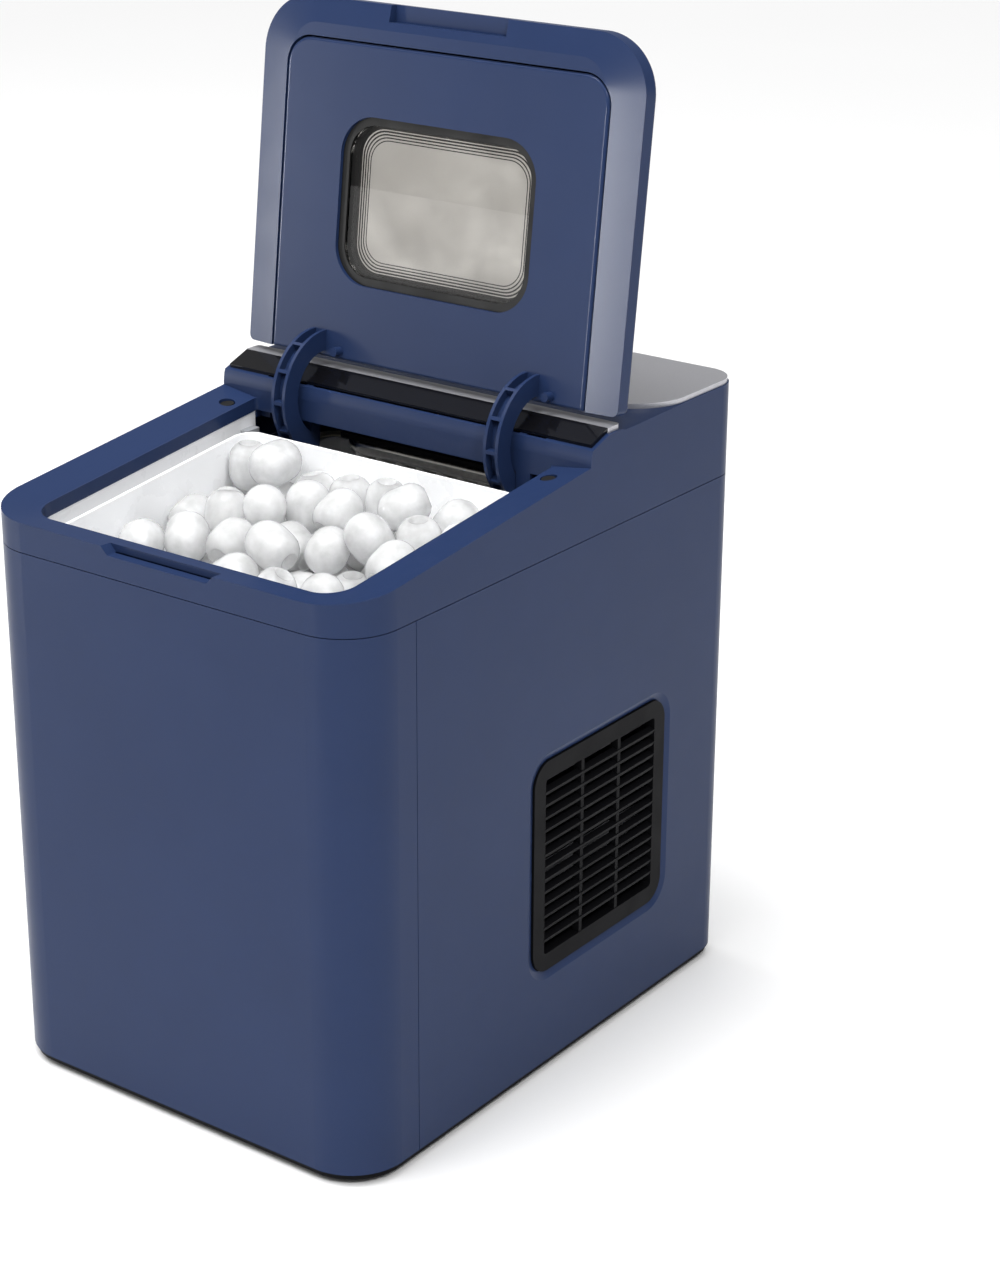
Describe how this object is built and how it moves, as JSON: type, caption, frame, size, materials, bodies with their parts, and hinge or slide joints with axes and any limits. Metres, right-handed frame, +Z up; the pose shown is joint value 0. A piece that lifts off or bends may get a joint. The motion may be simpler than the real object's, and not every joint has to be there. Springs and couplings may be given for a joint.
{
  "type": "portable ice maker",
  "caption": "Countertop bullet-ice maker with a sloping windowed lid on curved hinge arms, a lift-out ice basket, a tilting water tray and a side air grille.",
  "frame": {"origin": "on the surface it stands on, under the middle of the body", "axes": "+Z up, -Y towards the front and the low edge of the rim, +X to the side with the air grille"},
  "size_m": [0.222, 0.3, 0.4894],
  "materials": {
    "blue_plastic": "satin",
    "black_plastic": "matt",
    "gloss_black": "polished",
    "silver_plastic": "satin",
    "white_plastic": "smooth",
    "rubber": "matt",
    "lens": "printed border",
    "indicator": "smooth",
    "copper": "drawn",
    "nickel": "plated",
    "aluminium": "mill",
    "compressor_paint": "painted black",
    "steel": "plated",
    "circuit": "solder mask",
    "foam": "expanded foam",
    "grey_plastic": "satin",
    "hose": "silicone"
  },
  "bodies": {
    "root": {"front_cover": "blue_plastic", "left_side_cover": "blue_plastic", "right_side_cover": "blue_plastic", "rear_cover": "blue_plastic", "top_collar": "blue_plastic", "base_tray": "black_plastic", "side_grille": "black_plastic", "fan_shroud": "black_plastic", "compressor_cover": "black_plastic", "cord_gland": "black_plastic", "evaporator_bracket": "black_plastic", "control_strip": "gloss_black", "trim_strip": "silver_plastic", "top_plate": "silver_plastic", "tank_liner": "white_plastic", "rubber_feet": "rubber", "rim_bumpers": "rubber", "compressor_mounts": "rubber", "indicator_lenses": "indicator", "suction_tube": "copper", "discharge_tube": "copper", "liquid_tube": "copper", "filter_drier": "copper", "evaporator": "nickel", "condenser": "aluminium", "compressor": "compressor_paint", "hinge_pin_left": "steel", "hinge_pin_right": "steel", "case_screws": "steel", "fan_motor": "steel", "hot_gas_valve": "steel", "control_board": "circuit", "power_board": "circuit", "insulation_foam": "foam", "tray_gear_motor": "grey_plastic", "tray_bearing": "grey_plastic", "water_pump": "grey_plastic", "ice_sensor_left": "grey_plastic", "ice_sensor_right": "grey_plastic", "water_hose": "hose"},
    "lid": {"lid_outer_shell": "blue_plastic", "lid_inner_panel": "blue_plastic", "window_gasket": "rubber", "window_inner_pane": "lens", "window_outer_pane": "lens", "hinge_arm_left": "blue_plastic", "hinge_arm_right": "blue_plastic"},
    "basket": {"ice_basket": "white_plastic"},
    "tray": {"water_tray": "grey_plastic"},
    "fan": {"fan_rotor": "black_plastic"},
    "power_button": {"power_button": "silver_plastic"},
    "select_button": {"select_button": "silver_plastic"},
    "drain_cap": {"drain_cap": "rubber"}
  },
  "joints": [
    {"name": "lid_hinge", "type": "hinge", "parent": "root", "child": "lid", "pos_m": [0, 0.0381, 0.3016], "axis": [1, 0, 0], "range_deg": [0, 103.1]},
    {"name": "basket_lift", "type": "slide", "parent": "root", "child": "basket", "axis": [0, 0, 1], "range_m": [0, 0.15]},
    {"name": "tray_tilt", "type": "hinge", "parent": "root", "child": "tray", "pos_m": [0, 0.048, 0.242], "axis": [1, 0, 0], "range_deg": [0, 75]},
    {"name": "fan_spin", "type": "hinge", "parent": "root", "child": "fan", "pos_m": [0.067, 0.035, 0.1062], "axis": [1, 0, 0], "continuous": true},
    {"name": "power_press", "type": "slide", "parent": "root", "child": "power_button", "axis": [0, 0, -1], "range_m": [0, 0.0008], "stiffness_N_per_m": 400, "springref_m": -0.0005},
    {"name": "select_press", "type": "slide", "parent": "root", "child": "select_button", "axis": [0, 0, -1], "range_m": [0, 0.0008], "stiffness_N_per_m": 400, "springref_m": -0.0005},
    {"name": "drain_pull", "type": "slide", "parent": "root", "child": "drain_cap", "axis": [-1, 0, 0], "range_m": [0, 0.025]}
  ]
}
